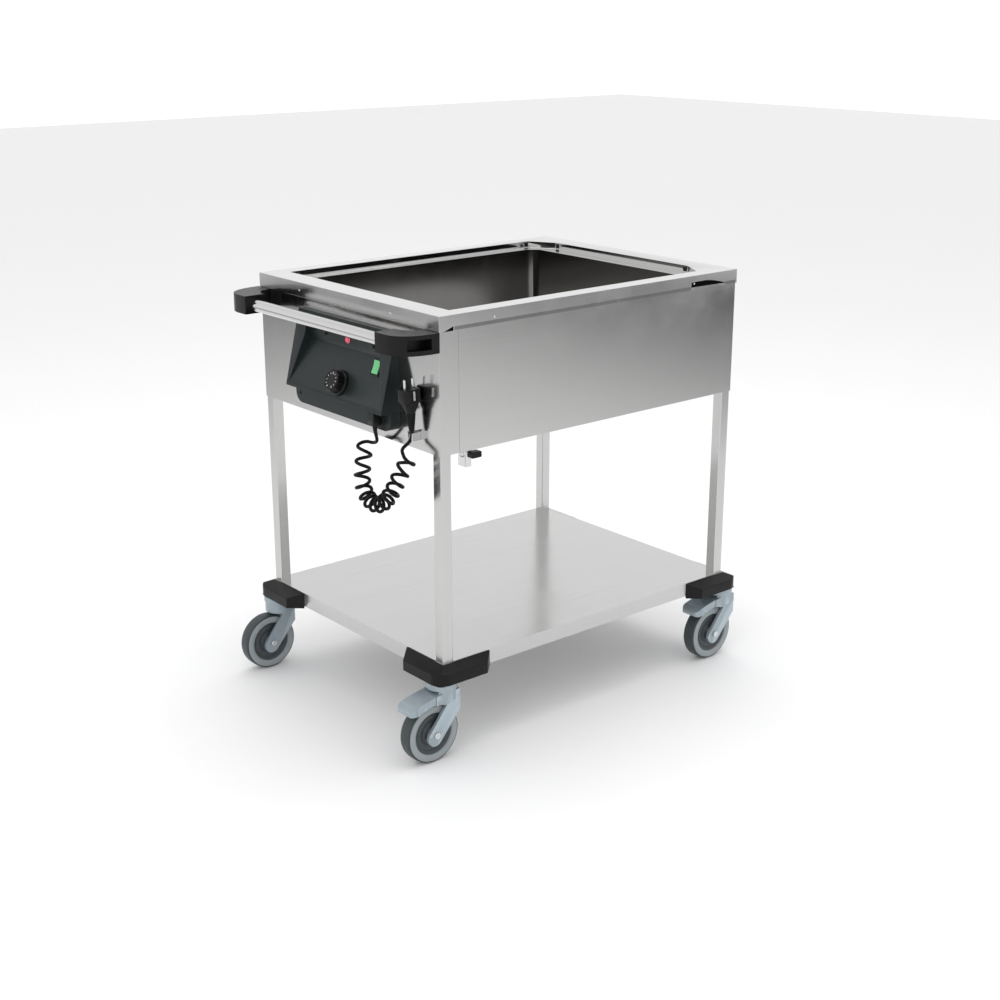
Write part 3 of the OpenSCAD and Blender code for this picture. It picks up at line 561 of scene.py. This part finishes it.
bm = bmesh.new()
for y in (61, -105):
    screw(bm, P(-408.7, y, 808.5), (-1, 0, 0), 0.0037, 0.002)
for y in (134, -168):
    screw(bm, P(-430, y, 674), (-1, 0, 0), 0.0033, 0.0014)
screw(bm, P(-407.5, -220, 658), (-1, 0, 0), 0.0041, 0.003)
make_object("housing_screws", bm, [M["black"], M["painted_shade_gap"]], "chassis", ("fasteners",), smooth=35)
bm = bmesh.new()
for y in (158, -160):
    for s in (-1, 1):
        lathe(bm, [(0, 0.0010), (0.0012, 0.0009), (0.0020, 0.0004), (0.0022, -0.0001)], P(s * 407.5, y, 883), (s, 0, 0), (0, 1, 0), 20)
for x in (-274, 274):
    for s in (-1, 1):
        lathe(bm, [(0, 0.0010), (0.0012, 0.0009), (0.0020, 0.0004), (0.0022, -0.0001)], P(x, s * 312.5, 883), (0, s, 0), (1, 0, 0), 20)
for x, y in ((-368, 257), (-374, 219), (361, -265), (368, 265)):
    lathe(bm, [(0, 0.0006), (0.0010, 0.0005), (0.0016, 0.0002), (0.0018, -0.0001)], P(x, y, 900), (0, 0, 1), (1, 0, 0), 20)
make_object("skirt_rivets", bm, [M["bright"]], "chassis", smooth=35)

# dark sheets in the finger notches of the skirt, plus a small wedge near its handle end: painted shade of the gaps
# behind them
bm = bmesh.new()
for s in (-1, 1):
    y0, y1 = s * 0.3106, s * 0.3110
    arc = [(266.0, 875.6), (266.0, 885.5)]
    for k in range(21):
        x = 266 + (373 - 266) * k / 20
        arc.append((x, 596.5 + math.sqrt(290.0 ** 2 - (x - 290) ** 2)))
    arc.append((373.0, 875.6))
    tri = [(-397, 869), (-373, 869), (-373, 878.5)]
    for outline in (arc, tri):
        f0 = [bm.verts.new(Vector(((x + XO) / 1000, y0, z / 1000))) for x, z in outline]
        f1 = [bm.verts.new(Vector(((x + XO) / 1000, y1, z / 1000))) for x, z in outline]
        bm.faces.new(f0); bm.faces.new(list(reversed(f1)))
        n_ = len(outline)
        for k in range(n_):
            bm.faces.new((f0[k], f0[(k + 1) % n_], f1[(k + 1) % n_], f1[k]))
for s in (-1, 1):
    y0, y1 = s * 0.31252, s * 0.31268
    arc = [(266.0, 875.6), (266.0, 885.5)]
    for k in range(21):
        x = 266 + (373 - 266) * k / 20
        arc.append((x, 596.5 + math.sqrt(290.0 ** 2 - (x - 290) ** 2)))
    f0 = [bm.verts.new(Vector(((x + XO) / 1000, y0, z / 1000))) for x, z in arc]
    f1 = [bm.verts.new(Vector(((x + XO) / 1000, y1, z / 1000))) for x, z in arc]
    bm.faces.new(f0); bm.faces.new(list(reversed(f1)))
    for k in range(len(arc)):
        k2 = (k + 1) % len(arc)
        bm.faces.new((f0[k], f0[k2], f1[k2], f1[k]))
make_object("notch_painted_shade", bm, [M["painted_shade_gap"]], "chassis")
# folded edge along the foot of the long skirts, covered by a thin sheet of darkened steel: painted shade under the
# skirt's overhang
bm = bmesh.new()
for s in (-1, 1):
    for x0, x1 in ((-371, 265.6), (372, 402)):
        ys = sorted((s * 0.31245, s * 0.31262))
        boxm(bm, ((x0 + XO) / 1000, ys[0], 0.8702), ((x1 + XO) / 1000, ys[1], 0.8773))
make_object("skirt_edge_fold_painted_shade", bm, [M["painted_shade_strip"]], "chassis")

# ------------------------------------------------------------ bumpers
for c in ("rear_right", "rear_left", "front_right", "front_left"):
    refine("bumper_" + c, M["bumper"], 0.0022, 3, 20, 50)

# ------------------------------------------------------------ castors
refine("castor_heads", M["zinc"], 0.0014, 3)
CAST = {"rear_right": (-1, -1), "rear_left": (-1, 1), "front_right": (1, -1), "front_left": (1, 1)}
WR = 62.5
side = [(4.1, 17.3), (12.5, 17.3), (13.6, 16.4), (14.2, 12.0), (15.5, 11.0), (24, 10.8), (24.6, 10.3), (25.4, 10.8), (38, 11.1), (38.6, 10.6), (39.4, 11.1), (43.4, 11.4), (44.6, 12.4), (45.0, 14.9), (46.0, 15.7), (51.5, 16.1), (57.8, 15.7), (58.8, 15.2), (59.1, 14.3), (59.5, 15.0), (60.8, 14.4), (61.8, 12.2), (62.3, 8.5), (62.5, 3.5)]
prof = [(r, -y) for r, y in side] + [(r, y) for r, y in reversed(side)]
for c, (sx, sy) in CAST.items():
    cx, cy = sx * 404.0, sy * 303.0
    refine("fork_" + c, M["zinc"], 0.0016, 3, 26, 42)
    refine("axle_" + c, M["bright"], 0.0012, 3)
    bm = bmesh.new()
    pts = [(r / 1000, y / 1000) for r, y in prof]
    mi = []
    for i in range(len(prof)):
        r = (prof[i][0] + prof[(i + 1) % len(prof)][0]) / 2
        mi.append(2 if r < 44.8 else 1 if r < 59.15 else 0)
    mi[-1] = 2
    lathe(bm, pts, P(cx - 33, cy, WR), (0, 1, 0), (1, 0, 0), 96, mi, close=True)
    make_object("wheel_%s_v" % c, bm, [M["tyre"], M["ring"], M["hub"]], "roller_" + c, ("wheel_" + c,), smooth=50)
for c in ("rear_right", "front_right"):
    refine("brake_pedal_" + c, M["zinc"], 0.0022, 4, 30, 50)

# ------------------------------------------------------------ floor and light
bm = bmesh.new()
bmesh.ops.create_grid(bm, x_segments=2, y_segments=2, size=15)
me = bpy.data.meshes.new("floor"); bm.to_mesh(me); bm.free()
floor = bpy.data.objects.new("floor", me); scene.collection.objects.link(floor)
floor.location.z = -0.0004
me.materials.append(material("floor_paint", (0.90, 0.90, 0.90), 0.0, 0.65, 0.004, (1, 1, 1), 0.02, (2, 2, 2), 0.0, spec=0.15))

world = bpy.data.worlds.new("world"); scene.world = world
world.use_nodes = True
wt = world.node_tree
bg = wt.nodes["Background"]
tc = wt.nodes.new("ShaderNodeTexCoord")
sepx = wt.nodes.new("ShaderNodeSeparateXYZ")
wt.links.new(tc.outputs["Generated"], sepx.inputs["Vector"])
mr = wt.nodes.new("ShaderNodeMapRange")
mr.inputs["From Min"].default_value = -0.1; mr.inputs["From Max"].default_value = 1.0
wt.links.new(sepx.outputs["Z"], mr.inputs["Value"])
ramp = wt.nodes.new("ShaderNodeValToRGB")
ramp.color_ramp.elements[0].position = 0.0; ramp.color_ramp.elements[0].color = (0.98, 0.98, 0.98, 1)
ramp.color_ramp.elements[1].position = 1.0; ramp.color_ramp.elements[1].color = (0.72, 0.72, 0.73, 1)
wt.links.new(mr.outputs["Result"], ramp.inputs["Fac"])
wt.links.new(ramp.outputs["Color"], bg.inputs["Color"])
bg.inputs["Strength"].default_value = 1.2


def area(name, loc, target, size, power):
    l = bpy.data.lights.new(name, "AREA"); l.shape = "RECTANGLE"; l.size = size[0]; l.size_y = size[1]; l.energy = power
    o = bpy.data.objects.new(name, l); scene.collection.objects.link(o)
    o.location = loc
    o.rotation_euler = (Vector(target) - Vector(loc)).to_track_quat("-Z", "Y").to_euler()
    return o


area("overhead", (0.3, 0.1, 3.4), (0.1, 0, 0.4), (2.6, 2.6), 40)
area("key", (-2.6, -1.6, 2.8), (0, 0, 0.5), (1.6, 1.6), 12)



def flag(name, lo, hi, axis, dark):
    """A soft grey card beside the set, clear at one edge and dark at the other, seen only in the steel."""
    bm_ = bmesh.new()
    vs = [bm_.verts.new(Vector(c)) for c in ((lo[0], lo[1], 0.02), (hi[0], lo[1], 0.02), (hi[0], hi[1], 0.02), (lo[0], hi[1], 0.02))]
    bm_.faces.new(vs)
    me_ = bpy.data.meshes.new(name); bm_.to_mesh(me_); bm_.free()
    o = bpy.data.objects.new(name, me_); scene.collection.objects.link(o)
    mt = bpy.data.materials.new(name); mt.use_nodes = True
    nt = mt.node_tree
    b = nt.nodes["Principled BSDF"]
    b.inputs["Base Color"].default_value = (0.03, 0.03, 0.03, 1)
    b.inputs["Roughness"].default_value = 0.9
    b.inputs["Specular IOR Level"].default_value = 0.0
    co = nt.nodes.new("ShaderNodeTexCoord").outputs["Object"]
    sep = nt.nodes.new("ShaderNodeSeparateXYZ"); nt.links.new(co, sep.inputs[0])
    r = nt.nodes.new("ShaderNodeMapRange")
    r.interpolation_type = "SMOOTHSTEP"
    r.inputs["From Min"].default_value = lo[axis]; r.inputs["From Max"].default_value = hi[axis]
    r.inputs["To Min"].default_value = 0.0; r.inputs["To Max"].default_value = dark
    nt.links.new(sep.outputs[axis], r.inputs["Value"])
    nt.links.new(r.outputs["Result"], b.inputs["Alpha"])
    me_.materials.append(mt)
    o.visible_camera = False; o.visible_diffuse = False; o.visible_shadow = False
    return o


flag("flag_side", (0.6, -6.0), (4.2, -1.5), 0, 0.85)
flag("flag_end", (-6.0, 1.2), (-1.2, 4.6), 1, 0.7)

rad = []
for i in range(3, len(path) - 3):
    a_, b_, c_ = path[i - 3], path[i], path[i + 3]
    ar = (b_ - a_).cross(c_ - a_).length / 2
    rad.append((((b_ - a_).length * (c_ - b_).length * (a_ - c_).length) / max(1e-12, 4 * ar), i))
if sorted(rad)[0][0] < 0.0135:
    print("cord length %.4f tightest %s of %d" % (cord_len, [(round(r * 1000, 1), i) for r, i in sorted(rad)[:4]], len(path)))
